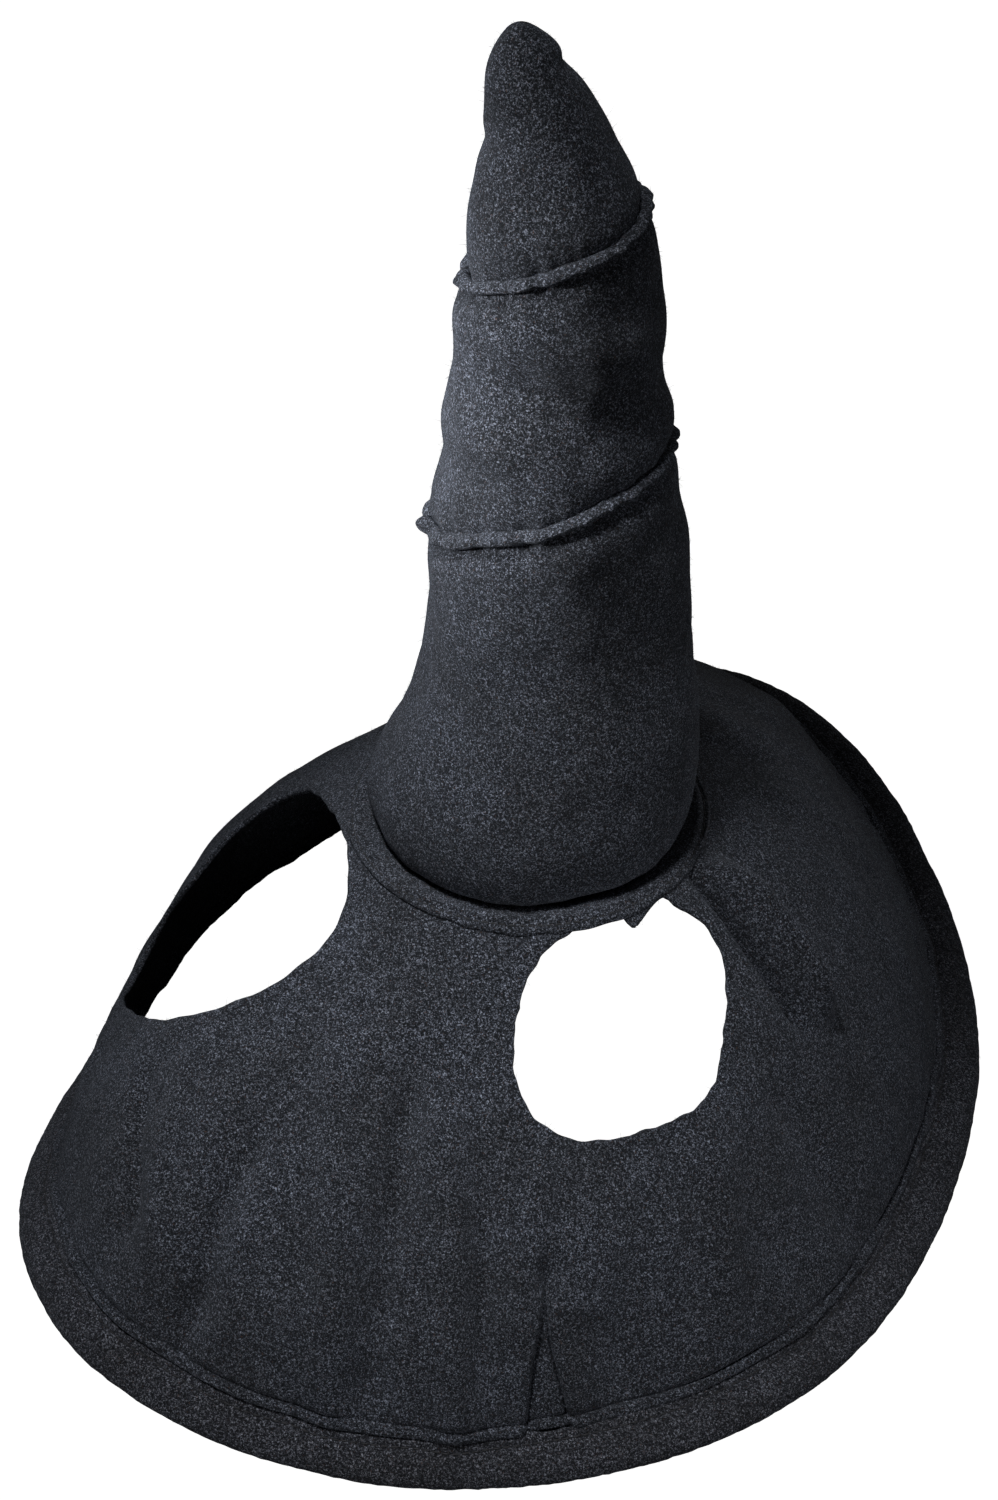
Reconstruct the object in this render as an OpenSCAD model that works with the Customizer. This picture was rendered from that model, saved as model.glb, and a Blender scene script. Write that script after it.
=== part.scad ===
/* [Crown] */
// Radius of the stuffed crown at its base seam
crown_r = 70; // [66:1:74]
// Height of the crown above its base seam
crown_h = 365; // [345:5:385]
// Sideways offset of the crown's axis above its base
crown_lean = 12; // [6:1:14]
// Lean of the tip away from the crown's axis, in degrees
tip_lean = 8; // [4:1:10]

/* [Tucks] */
// Height of the lower tuck above the base seam
lower_tuck_z = 174; // [168:1:180]
// Height of the upper tuck above the base seam
upper_tuck_z = 281; // [276:1:286]
// Slope of both tucks, in degrees
tuck_slope = 19; // [16:1:20]
// How far the crown can bend at the lower tuck, in degrees
lower_bend = 12; // [6:1:12]
// How far the crown can bend at the upper tuck, in degrees
upper_bend = 16; // [8:1:16]

/* [Brim] */
// Height of the base seam above the rim's mean line
brim_drop = 150; // [140:1:160]
// Mean radius of the rim
brim_reach = 228; // [218:1:238]
// Thickness of the brim's felt
felt_t = 2.5; // [2:0.1:2.8]
// Width of the folded hem
hem_w = 11.5; // [10:0.5:13]

/* [Ear holes] */
// Short half of the right ear hole
right_hole_len = 40; // [36:1:41]
// Long half of the right ear hole
right_hole_wid = 53; // [46:1:54]
// Half length of the left ear hole, down the slope
left_hole_len = 66; // [56:1:67]
// Half width of the left ear hole
left_hole_wid = 64; // [54:1:65]

/* [Hidden] */

felt = [0.10, 0.11, 0.12];
thread = [0.05, 0.05, 0.06];
fibre = [0.85, 0.85, 0.82];
steel = [0.55, 0.56, 0.58];

// Heights are measured from the seat, the underside of the base disc.
disc_t = 2.5;
seam_z = disc_t;
gap = 0.2;
skin_t = 2.5;

// ---- brim: a felt bell with a waved, oval rim ----
// Angles run round the crown from the hat's front, -Y, towards +X.
// Each wave is [times round the rim, height, angle of its crest].
reach_waves = [[1, 3, 177], [2, 29, -1], [3, 7, 81], [4, 4, -11], [5, 3.5, 50]];
lift_waves = [[1, 11, -166], [2, 17, -4], [3, 8.5, 73], [4, 5, -3], [5, 4.5, 48]];
swell_waves = [[1, 2.5, -123], [2, 4.5, -56]];
swell_mean = 20;
brim_inner_r = crown_r;
brim_top_r = crown_r + 6;
brim_mid_z = disc_t / 2;

function total(list) = list * [for (x = list) 1];
function wave(waves, a) = total([for (w = waves) w[1] * cos(w[0] * (a - w[2]))]);
function rim_r(a) = brim_reach + wave(reach_waves, a);
function rim_z(a) = brim_mid_z - brim_drop + wave(lift_waves, a);
function swell(a) = swell_mean + wave(swell_waves, a);
// Above zero the brim's swell sits nearer the rim, below zero nearer the crown.
function swell_skew(a) = 0.1 + 0.5 * cos(a + 7);
function chord(a) = norm([rim_r(a) - brim_top_r, rim_z(a) - brim_mid_z]);

// Radius and height of the brim's middle surface, t running from 0 at the crown to 1 at the rim.
function brim_rz(t, a) =
  let (
    run = rim_r(a) - brim_top_r,
    drop = brim_mid_z - rim_z(a),
    out = 4 * t * (1 - t) * (1 + swell_skew(a) * (2 * t - 1)) * swell(a) / chord(a)
  )
  [brim_top_r + run * t + out * drop, brim_mid_z - drop * t + out * run];
function around(rz, a) = [rz[0] * sin(a), -rz[0] * cos(a), rz[1]];
function brim_at(t, a) = around(brim_rz(t, a), a);
function brim_normal(t, a) =
  let (
    down = brim_at(t + 0.01, a) - brim_at(t - 0.01, a),
    along = brim_at(t, a + 1) - brim_at(t, a - 1),
    n = cross(down, along)
  )
  n / norm(n);
// A point off the middle surface by v, positive on the outside.
function brim_off(t, a, v) = brim_at(t, a) + v * brim_normal(t, a);

rim_steps = 60;
angles = [for (i = [0 : rim_steps - 1]) i * 360 / rim_steps];
slope_steps = 8;
function hem_top_t(a) = 1 - hem_w / chord(a);
function slope_ts(a) = concat([for (i = [0 : slope_steps - 1]) i / slope_steps * hem_top_t(a)],
  [hem_top_t(a), 1]);

// Closes a grid of rings into a solid. Each ring holds the same number of points,
// and the last ring joins the first.
module ring_solid(rings) {
  n = len(rings);
  m = len(rings[0]);
  points = [for (ring = rings) for (p = ring) p];
  faces = [for (i = [0 : n - 1]) for (j = [0 : m - 1])
    let (
      a = i * m + j,
      b = i * m + (j + 1) % m,
      c = ((i + 1) % n) * m + (j + 1) % m,
      d = ((i + 1) % n) * m + j
    )
    each [[a, b, c], [a, c, d]]];
  polyhedron(points, faces);
}

// One radial slice through the brim's felt: down the outside, back up the inside.
function brim_slice(a) =
  let (ts = slope_ts(a), n = len(ts) - 1)
  concat(
    [around([brim_inner_r, brim_mid_z + felt_t / 2], a)],
    [for (i = [0 : n]) brim_off(ts[i], a, felt_t / 2)],
    [for (i = [n : -1 : 0]) brim_off(ts[i], a, -felt_t / 2)],
    [around([brim_inner_r, brim_mid_z - felt_t / 2], a)]
  );

// Ear hole: [angle round the brim, place down the slope, half length, half width, turn]
right_hole = [51, 0.21, right_hole_len, right_hole_wid, 36];
left_hole = [-51.5, 0.32, left_hole_len, left_hole_wid, 0];

module ear_cut(hole) {
  a = hole[0];
  t = hole[1];
  above = brim_rz(t - 0.1, a);
  below = brim_rz(t + 0.1, a);
  slope = atan2(above[1] - below[1], below[0] - above[0]);
  depth = 60;
  outline = [for (i = [0 : 35]) [hole[3] * cos(10 * i), hole[2] * sin(10 * i)]];
  translate(brim_at(t, a))
    rotate([0, 0, a])
      rotate([slope, 0, 0])
        translate([0, 0, -depth / 2])
          linear_extrude(depth)
            rotate(hole[4])
              polygon(outline);
}

module brim_panel() {
  color(felt)
    difference() {
      ring_solid([for (a = angles) brim_slice(a)]);
      ear_cut(right_hole);
      ear_cut(left_hole);
    }
}

// ---- hem: a felt strip folded over the rim, with the wire in its fold ----
bind_t = 1.6;
wire_r = 1.1;
bind_gap = 0.6;
bind_in = felt_t / 2 + bind_gap;
bind_out = bind_in + bind_t;
// Each corner is [distance out past the rim, distance off the middle surface].
bind_outline = [
  [-hem_w, bind_in], [-hem_w, bind_out], [2.6, bind_out], [4.9, bind_out * 0.6], [5.7, 0],
  [4.9, -bind_out * 0.6], [2.6, -bind_out], [-hem_w, -bind_out], [-hem_w, -bind_in],
  [0, -bind_in], [2.9, -bind_in], [4, 0], [2.9, bind_in], [0, bind_in]
];
wire_out = 2;

function swept(outline) = [for (a = angles)
  [for (p = outline) brim_off(1 + p[0] / chord(a), a, p[1])]];
function tube_outline(u, v, r, sides) =
  [for (i = [0 : sides - 1]) [u + r * cos(-360 * i / sides), v + r * sin(-360 * i / sides)]];

module rim_binding() {
  color(felt) ring_solid(swept(bind_outline));
}

joiner_step = 30;
joiner_l = 18;

module rim_wire() {
  color(steel) ring_solid(swept(tube_outline(wire_out, 0, wire_r, 6)));
}

// The wire's ends meet in this crimped sleeve at the back.
module wire_joiner() {
  a = angles[joiner_step];
  b = angles[joiner_step + 1];
  from = brim_off(1 + wire_out / chord(a), a, 0);
  to = brim_off(1 + wire_out / chord(b), b, 0);
  way = to - from;
  color(steel)
    translate((from + to) / 2)
      rotate([0, acos(way[2] / norm(way)), atan2(way[1], way[0])])
        difference() {
          cylinder(h = joiner_l, r = wire_r + 0.35, center = true, $fn = 24);
          cylinder(h = joiner_l + 1, r = wire_r + 0.1, center = true, $fn = 24);
        }
}

stitch_r = 0.45;
hem_stitch_in = hem_w - 2;

module hem_stitching() {
  color(thread)
    for (side = [1, -1])
      ring_solid(swept(tube_outline(-hem_stitch_in, side * (bind_out + stitch_r + 0.2), stitch_r, 4)));
}

// ---- crown base ----
collar_r = crown_r + 7.5;
collar_t = 2;

// The crown felt's seam allowance, turned out flat on the brim.
module crown_collar() {
  z = seam_z + gap;
  color(felt)
    rotate_extrude($fn = 96)
      polygon([[crown_r - skin_t, z], [collar_r, z], [collar_r, z + collar_t],
        [crown_r - skin_t, z + collar_t]]);
}

module collar_stitching() {
  color(thread)
    rotate_extrude($fn = 96)
      translate([collar_r - 1.5, seam_z + gap + collar_t + stitch_r + 0.1])
        circle(r = stitch_r, $fn = 16);
}

// Flat felt disc that closes the crown over the head.
module base_disc() {
  color(felt) cylinder(h = disc_t, r = brim_inner_r - gap, $fn = 96);
}

// ---- crown: three stuffed sections between two pinched tucks ----
crown_z = seam_z + gap + collar_t + gap;
lower_turn = 10;
upper_turn = 30;
lean_turn = 30;

function side(d) = [d * cos(lean_turn), d * sin(lean_turn), 0];
lower_centre = side(crown_lean) + [0, 0, seam_z + lower_tuck_z];
upper_centre = side(crown_lean - 1.5) + [0, 0, seam_z + upper_tuck_z];
lower_neck_r = 53;
upper_neck_r = 38.5;
lower_half_gap = lower_bend / 2 + 0.5;
upper_half_gap = upper_bend / 2 + 0.5;
lower_bead_r = 4.3;
upper_bead_r = 3.6;

// Radius of the crown at height z above its base seam. The felt draws in between the tucks.
function drawn_in(z, at, width, by) = by * exp(-pow((z - at) / width, 2));
function crown_radius(z) =
  crown_r * sqrt(max(0, 1 - z / crown_h))
  - drawn_in(z, 105, 45, 4.5) - drawn_in(z, 218, 20, 3);
function profile(z0, z1, steps, inset) = [for (i = [0 : steps])
  let (z = z0 + (z1 - z0) * i / steps)
  [max(0.01, crown_radius(z) - inset), z]];

// Moves a shape into the slanted plane of a tuck.
module in_tuck(centre, turn) {
  translate(centre)
    rotate([0, 0, turn])
      rotate([0, -tuck_slope, 0])
        children();
}

// Everything below a tuck, and everything above it, with a shallow cone of room between.
module below_tuck(half_gap) {
  far = 400;
  rotate_extrude($fn = 96)
    polygon([[0, -0.3], [far, -0.3 - far * tan(half_gap)], [far, -far], [0, -far]]);
}

module above_tuck(half_gap) {
  mirror([0, 0, 1]) below_tuck(half_gap);
}

// A length of the crown's turned shape, closed above and below, drawn in by inset.
module crown_turned(z0, z1, steps, inset) {
  rotate_extrude($fn = 96)
    polygon(concat([[0, z0]], profile(z0, z1, steps, inset), [[0, z1]]));
}

module lower_turned(inset) {
  tilt = atan(crown_lean / lower_tuck_z);
  intersection() {
    translate([0, 0, seam_z])
      rotate([0, 0, lean_turn])
        rotate([0, tilt, 0])
          crown_turned(-12, 225, 20, inset);
    translate([-200, -200, crown_z]) cube([400, 400, 400]);
    in_tuck(lower_centre, lower_turn) below_tuck(lower_half_gap);
  }
}

module middle_turned(inset) {
  intersection() {
    translate(side(crown_lean - 0.7) + [0, 0, seam_z])
      crown_turned(140, 320, 18, inset);
    in_tuck(lower_centre, lower_turn) above_tuck(lower_half_gap);
    in_tuck(upper_centre, upper_turn) below_tuck(upper_half_gap);
  }
}

module tip_turned(inset) {
  intersection() {
    translate(upper_centre)
      rotate([0, 0, lean_turn])
        rotate([0, -tip_lean, 0])
          translate([0, 0, -upper_tuck_z])
            crown_turned(upper_tuck_z - 30, crown_h - inset * 3, 16, inset);
    in_tuck(upper_centre, upper_turn) above_tuck(upper_half_gap);
  }
}

module crown_lower() {
  color(felt)
    difference() {
      lower_turned(0);
      lower_sleeve_core();
    }
}

// The room inside a section's felt, running out through its open ends.
module lower_sleeve_core() {
  tilt = atan(crown_lean / lower_tuck_z);
  translate([0, 0, seam_z])
    rotate([0, 0, lean_turn])
      rotate([0, tilt, 0])
        crown_turned(-12, 225, 20, skin_t);
}

module middle_sleeve_core() {
  translate(side(crown_lean - 0.7) + [0, 0, seam_z])
    crown_turned(140, 320, 18, skin_t);
}

module tip_sleeve_core() {
  translate(upper_centre)
    rotate([0, 0, lean_turn])
      rotate([0, -tip_lean, 0])
        translate([0, 0, -upper_tuck_z])
          crown_turned(upper_tuck_z - 30, crown_h - skin_t * 2, 16, skin_t);
}

module crown_middle() {
  color(felt)
    difference() {
      middle_turned(0);
      middle_sleeve_core();
    }
}

module crown_tip() {
  color(felt)
    difference() {
      tip_turned(0);
      tip_sleeve_core();
    }
}

stuffing_inset = skin_t + gap;
tip_stuffing_inset = skin_t + 0.8;

module stuffing_lower() {
  color(fibre) lower_turned(stuffing_inset);
}

module stuffing_middle() {
  color(fibre) middle_turned(stuffing_inset);
}

module stuffing_tip() {
  color(fibre) tip_turned(tip_stuffing_inset);
}

// The ridge of felt pinched up round the crown.
module tuck_bead(neck_r, bead_r) {
  rotate_extrude($fn = 96)
    translate([neck_r - bead_r, 0]) circle(r = bead_r, $fn = 24);
}

module tuck_thread(neck_r, bead_r) {
  rotate_extrude($fn = 96)
    translate([neck_r - bead_r * 2 - stitch_r - 0.1, 0]) circle(r = stitch_r, $fn = 16);
}

module lower_tuck() {
  color(felt) in_tuck(lower_centre, lower_turn) tuck_bead(lower_neck_r, lower_bead_r);
}

module lower_tuck_thread() {
  color(thread) in_tuck(lower_centre, lower_turn) tuck_thread(lower_neck_r, lower_bead_r);
}

module upper_tuck() {
  color(felt) in_tuck(upper_centre, upper_turn) tuck_bead(upper_neck_r, upper_bead_r);
}

module upper_tuck_thread() {
  color(thread) in_tuck(upper_centre, upper_turn) tuck_thread(upper_neck_r, upper_bead_r);
}

brim_panel();
rim_binding();
rim_wire();
wire_joiner();
hem_stitching();
crown_collar();
collar_stitching();
base_disc();
crown_lower();
stuffing_lower();
lower_tuck();
lower_tuck_thread();
crown_middle();
stuffing_middle();
upper_tuck();
upper_tuck_thread();
crown_tip();
stuffing_tip();
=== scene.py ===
"""Black felt witch hat: a waved brim with two ear holes and a stuffed crown pinched by two tucks.

Points are worked out in millimetres and angles in degrees; new_piece turns them into metres. Places on the
brim are (t, a): t runs from 0 at the crown to 1 at the rim, and a is the angle from the hat's front. Places
on the crown are (phi, z): phi is the turn from +X in radians, and z the height over the base seam.
"""

import math

import bpy
import numpy as np
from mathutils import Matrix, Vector


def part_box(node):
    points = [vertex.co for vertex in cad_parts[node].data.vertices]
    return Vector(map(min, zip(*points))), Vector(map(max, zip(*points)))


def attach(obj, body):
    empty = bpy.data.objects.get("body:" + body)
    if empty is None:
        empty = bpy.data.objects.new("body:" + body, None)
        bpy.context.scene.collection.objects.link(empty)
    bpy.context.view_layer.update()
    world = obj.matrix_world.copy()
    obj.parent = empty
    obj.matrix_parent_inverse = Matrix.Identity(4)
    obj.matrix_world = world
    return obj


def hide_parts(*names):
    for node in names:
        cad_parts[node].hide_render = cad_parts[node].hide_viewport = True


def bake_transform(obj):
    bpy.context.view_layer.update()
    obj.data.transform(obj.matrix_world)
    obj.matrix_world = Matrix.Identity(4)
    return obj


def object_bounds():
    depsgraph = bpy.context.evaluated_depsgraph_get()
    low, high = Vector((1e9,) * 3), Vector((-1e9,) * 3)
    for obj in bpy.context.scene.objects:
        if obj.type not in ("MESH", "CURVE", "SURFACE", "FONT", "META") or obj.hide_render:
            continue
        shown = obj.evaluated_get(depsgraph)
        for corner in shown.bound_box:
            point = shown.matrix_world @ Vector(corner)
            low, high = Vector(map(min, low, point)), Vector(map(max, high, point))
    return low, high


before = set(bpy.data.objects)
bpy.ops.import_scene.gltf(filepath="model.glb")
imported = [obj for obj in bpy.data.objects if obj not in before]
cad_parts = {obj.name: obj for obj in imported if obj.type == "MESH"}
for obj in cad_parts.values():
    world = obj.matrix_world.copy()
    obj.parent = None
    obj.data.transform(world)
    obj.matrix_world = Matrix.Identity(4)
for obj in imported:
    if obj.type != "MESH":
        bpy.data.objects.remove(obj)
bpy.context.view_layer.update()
scene = bpy.context.scene

# ---- camera ----
CAMERA_PLACE = (0.4426, -0.7921, 0.7498)
CAMERA_AIM = (-0.0111, -0.0064, 0.0358)
camera_data = bpy.data.cameras.new("camera")
camera_data.sensor_width = 36
camera_data.lens = 64.17
camera = bpy.data.objects.new("camera", camera_data)
camera.location = CAMERA_PLACE
camera.rotation_euler = (Vector(CAMERA_AIM) - Vector(CAMERA_PLACE)).to_track_quat("-Z", "Y").to_euler()
scene.collection.objects.link(camera)
scene.camera = camera
scene.view_settings.view_transform = "Standard"

# ---- the hat's measures, in millimetres and degrees, as in its frame ----
FELT_T = 2.5
HEM_W = 11.5
SEAM_Z = FELT_T
BRIM_MID_Z = FELT_T / 2
BRIM_TOP_R = 76
BRIM_REACH = 228
BRIM_DROP = 150
CROWN_R = 70
TIP_Z = 362.5
# Waves round the brim, of its reach, its rim's height and its swell: how many in one turn, size in mm,
# and the angle of a crest
REACH_WAVES = [(1, 3, 177), (2, 29, -1), (3, 7, 81), (4, 4, -11), (5, 3.5, 50)]
LIFT_WAVES = [(1, 11, -166), (2, 17, -4), (3, 8.5, 73), (4, 5, -3), (5, 4.5, 48)]
SWELL_WAVES = [(1, 2.5, -123), (2, 4.5, -56)]
SWELL_MEAN = 20
SKEW_MEAN = 0.1
SKEW_WAVE = 0.5
SKEW_CREST = -7
# How fast the sheet runs in under the collar where t is under 0, in mm
TUCKED_IN = 200
TUCK_SLOPE = 19
LEAN_TURN = 30
LOWER_TUCK = {"centre": np.array([10.392, 6, 176.5]), "turn": 10}
UPPER_TUCK = {"centre": np.array([9.093, 5.25, 283.5]), "turn": 30}


def rad(a):
    return np.radians(a)


def bell(x, width):
    """1 at x = 0, falling away on both sides over the width."""
    return np.exp(-((x / width) ** 2))


def smooth(x, low, high):
    """0 up to low, 1 from high on, and an even rise between them."""
    share = np.clip((x - low) / (np.asarray(high) - low), 0, 1)
    return share * share * (3 - 2 * share)


def wave(waves, a):
    return sum(h * np.cos(rad(n * (a - crest))) for n, h, crest in waves)


def turned(d):
    """Angle differences brought into one turn, -180 to 180."""
    return (d + 180) % 360 - 180


WAVER_TERMS = 14
WAVER_PACE = 1.7


def waver(points, length, seed):
    """A smooth random value, about -1 to 1, that changes over the given length."""
    dice = np.random.default_rng(seed)
    way = dice.normal(size=(WAVER_TERMS, 3)) / length
    phase = dice.uniform(0, 2 * math.pi, WAVER_TERMS)
    return np.sin(points @ way.T * WAVER_PACE + phase).sum(-1) / math.sqrt(WAVER_TERMS)


def wavers(points, length, seeds):
    """Three wavers side by side, as a random move of each point."""
    return np.stack([waver(points, length, seed) for seed in seeds], -1)


# ---- the brim's surface ----
def chord(a):
    """Straight length of the slope from the crown to the rim."""
    return np.hypot(BRIM_REACH + wave(REACH_WAVES, a) - BRIM_TOP_R, wave(LIFT_WAVES, a) - BRIM_DROP)


def brim_plain(t, a):
    """The middle of the brim's felt, without its folds. Under t = 0 it runs level, in under the collar."""
    run = BRIM_REACH + wave(REACH_WAVES, a) - BRIM_TOP_R
    drop = BRIM_DROP - wave(LIFT_WAVES, a)
    skew = SKEW_MEAN + SKEW_WAVE * np.cos(rad(a - SKEW_CREST))
    swell = SWELL_MEAN + wave(SWELL_WAVES, a)
    down = np.maximum(t, 0)
    out = 4 * down * (1 - down) * (1 + skew * (2 * down - 1)) * swell / np.hypot(run, drop)
    r = BRIM_TOP_R + run * down + out * drop + np.minimum(t, 0) * TUCKED_IN
    z = BRIM_MID_Z - drop * down + out * run
    return np.stack([r * np.sin(rad(a)), -r * np.cos(rad(a)), z], -1)


def normal_of(surface, t, a):
    down = surface(t + 0.004, a) - surface(t - 0.004, a)
    along = surface(t, a + 0.4) - surface(t, a - 0.4)
    n = np.cross(down, along)
    return n / np.linalg.norm(n, axis=-1, keepdims=True)


# Soft folds in the brim: height and width, where they start and end down the slope,
# and the angle of the fold at a few places down the slope.
FOLD_GAIN = 2.5
FOLD_FADE_IN = 0.14
FOLD_FADE_OUT = 0.12
FOLDS = [
    (2.4, 9, 0.22, 1.0, [(0.3, -4), (0.6, 6), (0.9, 9)]),
    (-2.6, 8, 0.2, 0.95, [(0.25, 8), (0.5, 11), (0.8, 13)]),
    (2.4, 9, 0.25, 1.0, [(0.3, 14), (0.6, 20), (0.9, 22)]),
    (-2.0, 6, 0.35, 0.9, [(0.3, 21), (0.5, 23), (0.8, 24.5)]),
    (1.8, 7, 0.35, 0.8, [(0.4, 32), (0.55, 30), (0.7, 28.5)]),
    (-2.2, 7, 0.5, 0.85, [(0.55, -29), (0.65, -23), (0.75, -17)]),
    (1.2, 7, 0.4, 0.85, [(0.5, -24), (0.6, -19.5), (0.75, -13)]),
    (-2.4, 8, 0.42, 0.95, [(0.45, -9), (0.65, -8), (0.8, -6)]),
    (-6.2, 3.4, -0.02, 0.43, [(0.0, 91), (0.2, 87.5), (0.35, 85.5)]),
    (6.4, 7.5, 0.0, 0.46, [(0.0, 98), (0.2, 94), (0.35, 92)]),
    (1.6, 8, 0.4, 0.9, [(0.5, 60), (0.7, 57), (0.9, 55)]),
    (-1.4, 9, 0.45, 0.95, [(0.5, 48), (0.7, 42), (0.9, 40)]),
    (-1.5, 12, 0.4, 0.95, [(0.5, 75), (0.7, 78), (0.9, 80)]),
    (-0.9, 1.6, 0.44, 0.6, [(0.4, 128), (0.5, 131), (0.7, 138)]),
]
# The pleat in the front: two laps over a sunk tongue, whose edges part down the slope
PLEAT_AT = 32
PLEAT_TOP = 0.66
PLEAT_LAP = 0.9
PLEAT_DEPTH = 3.6
PLEAT_GROOVE = 1.5
PLEAT_HOLLOW = 6.0
PLEAT_BUMP = 2.2
PLEAT_BUMP_AT = 35.3
PLEAT_LEFT = [(0.6, 32), (0.8, 30), (0.93, 29.4), (1.0, 27.4)]
PLEAT_RIGHT = [(0.6, 32), (0.75, 32.6), (0.85, 34), (0.95, 35.2)]


def path_angle(path, t):
    """Angle of a path of (t, angle) points at each place down the slope."""
    return np.interp(t, [p[0] for p in path], [p[1] for p in path])


def pleat_relief(height, t, a, arc, from_rim):
    """Adds the pleat's laps, its sunk tongue, and the hollow and the bump over its top."""
    left = turned(a - path_angle(PLEAT_LEFT, t)) * arc
    right = turned(path_angle(PLEAT_RIGHT, t) - a) * arc
    inside = np.minimum(left, right)
    low = smooth(t, PLEAT_TOP - 0.02, PLEAT_TOP + 0.06) * smooth(from_rim, 10.5, 14.5)
    lap = PLEAT_LAP * bell(np.minimum(inside, 0), 6) * (inside < 0) + (inside >= 0) * PLEAT_LAP
    height += low * (lap * (np.abs(inside) < 40) - PLEAT_DEPTH * smooth(inside, -0.5, 0.9))
    height -= low * PLEAT_GROOVE * bell(right - 0.4, 1.3)
    hollow = np.hypot(turned(a - PLEAT_AT) * arc / 5, (t - PLEAT_TOP + 0.02) * chord(a) / 9)
    height -= PLEAT_HOLLOW * np.exp(-hollow**2)
    bump = np.hypot(turned(a - PLEAT_BUMP_AT) * arc / 5, (t - PLEAT_TOP - 0.03) * chord(a) / 8)
    height += PLEAT_BUMP * np.exp(-bump**2)
    return height


# The rim turns up behind a gutter, most at the back right and at the left
BACK_RIGHT = 112
BACK_RIGHT_WIDE = 72
LEFT_SIDE = -66
LEFT_WIDE = 50
FLARE = 4
FLARE_BACK = 8.5
FLARE_LEFT = 7
GUTTER = 52
GUTTER_BACK = 100
GUTTER_LEFT = 70
# Lines that the hem's stitches draw beside it: height, distance from the rim, width
HEM_LINES = [(1.9, 15.4, 1.3), (-2.0, 12.6, 1.0), (-1.5, 18.4, 1.5)]


def rim_relief(height, a, from_rim):
    """Adds the gutter behind the rim and the lines beside the hem."""
    back = np.exp(-((turned(a - BACK_RIGHT) / BACK_RIGHT_WIDE) ** 4))
    left = bell(turned(a - LEFT_SIDE), LEFT_WIDE)
    flare = FLARE + FLARE_BACK * back + FLARE_LEFT * left
    reach = GUTTER + GUTTER_BACK * back + GUTTER_LEFT * left
    height -= flare * smooth(from_rim, -1, 12) * (1 - smooth(from_rim, 12, reach))
    for h, place, width in HEM_LINES:
        height += h * bell(from_rim - place, width)
    return height


def brim_relief(t, a, plain):
    """Height of the folds over the plain brim, in mm."""
    arc = np.hypot(plain[..., 0], plain[..., 1]) * math.pi / 180
    from_rim = (1 - t) * chord(a)
    height = np.zeros_like(t)
    for h, width, start, end, path in FOLDS:
        there = smooth(t, start, start + FOLD_FADE_IN) * (1 - smooth(t, end - FOLD_FADE_OUT, end))
        height += FOLD_GAIN * h * there * bell(turned(a - path_angle(path, t)) * arc, width)
    height = pleat_relief(height, t, a, arc, from_rim)
    height = rim_relief(height, a, from_rim)
    calm = smooth(t, 0, 0.15) * (1 - 0.7 * smooth(t, 0.9, 1))
    height += calm * (1.3 * waver(plain, 34, 3) + 0.5 * waver(plain, 12, 4))
    return height


def brim_surface(t, a):
    plain = brim_plain(t, a)
    return plain + brim_relief(t, a, plain)[..., None] * normal_of(brim_plain, t, a)


# Ear holes: centre down the slope and round the brim, mean radius, waves of the outline
RIGHT_HOLE = (0.21, 52, 48.3, [(1, 2.4, -134), (2, 5.6, -36), (3, 1.2, -51), (4, 2.4, -34)])
LEFT_HOLE = (0.32, -55, 66, [(1, 8.1, 1), (2, 1.5, 82), (3, 6, -28), (4, 3.6, 18), (5, 1, -32)])
# Uneven cutting of the raw edges: ripples round the hole, size, start
CUT_RIPPLES = [(17, 0.3, 0), (31, 0.25, 40)]
# A nick and a point of felt at the right hole's upper corner: size, turn, width
RIGHT_NICKS = [(3.5, -55, 5), (-9, -69, 6.5)]
# Only the brim's felt this near the hole's own plane is cut, and the rest counts as far away
HOLE_DEPTH = 60
FAR = 99.0


def hole_clearance(hole, t, a):
    """How far a point of the brim lies outside a hole's outline, in mm."""
    t0, a0, mean, waves = hole
    centre, above, below = (
        brim_plain(np.array(t0 + d), np.array(float(a0))) for d in (0, -0.1, 0.1)
    )
    down = (below - above) / np.linalg.norm(below - above)
    across = np.array([math.cos(math.radians(a0)), math.sin(math.radians(a0)), 0])
    away = brim_plain(t, a) - centre
    x, y, off = away @ across, away @ down, away @ np.cross(across, down)
    turn = np.degrees(np.arctan2(y, x))
    edge = mean + wave(waves, turn)
    for count, size, start in CUT_RIPPLES:
        edge = edge + size * np.sin(rad(count * turn + start))
    if hole is RIGHT_HOLE:
        edge += sum(size * bell(turn - at, width) for size, at, width in RIGHT_NICKS)
    return np.where(np.abs(off) < HOLE_DEPTH, np.hypot(x, y) - edge, FAR)


def clearance(t, a):
    return np.minimum(hole_clearance(RIGHT_HOLE, t, a), hole_clearance(LEFT_HOLE, t, a))


# ---- the crown's surface ----
SIDE = np.array([math.cos(math.radians(LEAN_TURN)), math.sin(math.radians(LEAN_TURN)), 0])
# Swells and waists of the crown's profile: size, height over the seam, reach up and down
SWELLS = [(-4.5, 105, 45), (-3, 218, 20), (3.4, 27, 22), (1.6, 290, 14), (1.6, 246, 16), (-1.6, 190, 12)]
FOOT_PINCH = 0.13
# The lean's steps to the side: size, and the heights that each starts and ends at
LEAN_STEPS = [(11.2, 5, 75), (-1.2, 120, 175), (1.6, 205, 245), (-1.9, 262, 296)]
# The tip nods back over to the other side, and has one small kink near its end
NOD_FROM = 276
NOD_REACH = 86
NOD = 14.5
KINK = 1.6
KINK_AT = 348


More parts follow.
